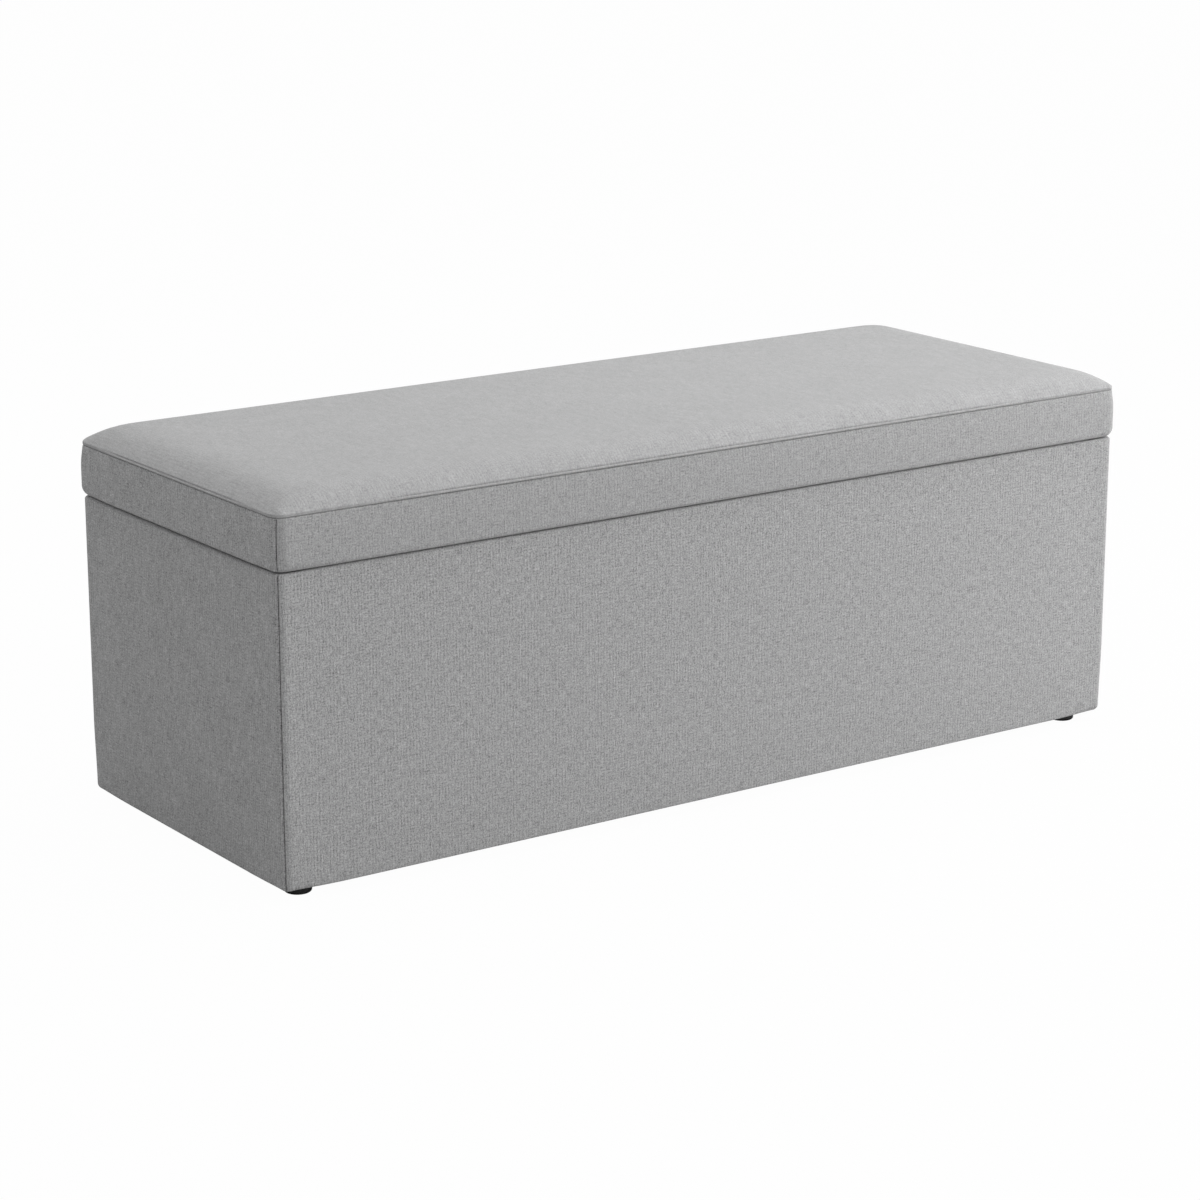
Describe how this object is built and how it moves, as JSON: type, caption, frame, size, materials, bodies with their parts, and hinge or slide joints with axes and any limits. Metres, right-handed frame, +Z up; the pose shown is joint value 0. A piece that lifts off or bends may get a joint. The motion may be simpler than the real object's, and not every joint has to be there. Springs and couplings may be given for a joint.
{
  "type": "storage bench",
  "caption": "Rectangular upholstered storage box on low round glides, with a crowned padded lid hinged along the back on butt hinges and slowed by damped two-bar stays.",
  "frame": {"origin": "on the floor under the centre of the bench, lid closed", "axes": "+X along the bench's length, -Y towards the open front edge of the lid, +Y towards the hinges, +Z up"},
  "size_m": [1.2, 0.458, 0.4554],
  "materials": {
    "upholstery": "heathered grey plain weave, polyester linen look",
    "foam": "cream polyurethane foam",
    "wadding": "white polyester wadding",
    "board": "plywood board, raw",
    "timber": "planed softwood, raw",
    "lining": "black non-woven lining",
    "cambric": "black non-woven dust cloth",
    "glide": "black moulded plastic",
    "hinge": "nickel-plated pressed steel",
    "fixing": "zinc-plated steel",
    "staple": "galvanised wire",
    "damper": "black moulded plastic",
    "stay": "black painted steel",
    "bumper": "black rubber"
  },
  "bodies": {
    "base": {"base_cover_back": "upholstery", "base_cover_front": "upholstery", "base_cover_left": "upholstery", "base_cover_right": "upholstery", "base_foam_back": "foam", "base_foam_front": "foam", "base_foam_left": "foam", "base_foam_right": "foam", "base_panel_back": "board", "base_panel_front": "board", "base_panel_left": "board", "base_panel_right": "board", "base_wood_screws": "fixing", "bottom_board": "board", "bottom_rail_back": "timber", "bottom_rail_centre": "timber", "bottom_rail_front": "timber", "bottom_rail_left": "timber", "bottom_rail_right": "timber", "corner_blocks": "timber", "dust_cover": "cambric", "dust_cover_staples": "staple", "glide_back_left": "glide", "glide_back_right": "glide", "glide_front_left": "glide", "glide_front_right": "glide", "glide_nails": "fixing", "hinge_centre_base_leaf": "hinge", "hinge_left_base_leaf": "hinge", "hinge_pins": "hinge", "hinge_right_base_leaf": "hinge", "rim_bumpers": "bumper", "stay_damper_left": "damper", "stay_damper_right": "damper", "well_lining_floor": "lining", "well_lining_walls": "lining"},
    "lid": {"lid_board": "board", "lid_foam": "foam", "lid_wadding": "wadding", "lid_top_panel": "upholstery", "lid_band_front": "upholstery", "lid_band_back": "upholstery", "lid_band_left": "upholstery", "lid_band_right": "upholstery", "lid_lining": "lining", "lid_staples": "staple", "hinge_left_lid_leaf": "hinge", "hinge_centre_lid_leaf": "hinge", "hinge_right_lid_leaf": "hinge", "lid_wood_screws": "fixing", "stay_bracket_left": "stay", "stay_bracket_right": "stay"},
    "stay_arm_left": {"stay_arm_left": "stay", "stay_knee_rivet_left": "stay"},
    "stay_link_left": {"stay_link_left": "stay"},
    "stay_arm_right": {"stay_arm_right": "stay", "stay_knee_rivet_right": "stay"},
    "stay_link_right": {"stay_link_right": "stay"}
  },
  "joints": [
    {"name": "lid_hinge", "type": "hinge", "parent": "base", "child": "lid", "pos_m": [0, 0.2263, 0.3679], "axis": [-1, 0, 0], "range_deg": [0, 85]},
    {"name": "stay_arm_left_pivot", "type": "hinge", "parent": "base", "child": "stay_arm_left", "pos_m": [-0.5555, 0.0843, 0.3199], "axis": [-1, 0, 0], "range_deg": [0, 85]},
    {"name": "stay_link_left_knee", "type": "hinge", "parent": "stay_arm_left", "child": "stay_link_left", "pos_m": [-0.55225, -0.0649, 0.3044], "axis": [-1, 0, 0], "range_deg": [-85, 0]},
    {"name": "stay_arm_right_pivot", "type": "hinge", "parent": "base", "child": "stay_arm_right", "pos_m": [0.5555, 0.0843, 0.3199], "axis": [-1, 0, 0], "range_deg": [0, 85]},
    {"name": "stay_link_right_knee", "type": "hinge", "parent": "stay_arm_right", "child": "stay_link_right", "pos_m": [0.55225, -0.0649, 0.3044], "axis": [-1, 0, 0], "range_deg": [-85, 0]}
  ],
  "couplings": [
    {"joint": "stay_arm_left_pivot", "follows": "lid_hinge", "ratio": 1},
    {"joint": "stay_link_left_knee", "follows": "lid_hinge", "ratio": -1},
    {"joint": "stay_arm_right_pivot", "follows": "lid_hinge", "ratio": 1},
    {"joint": "stay_link_right_knee", "follows": "lid_hinge", "ratio": -1}
  ]
}
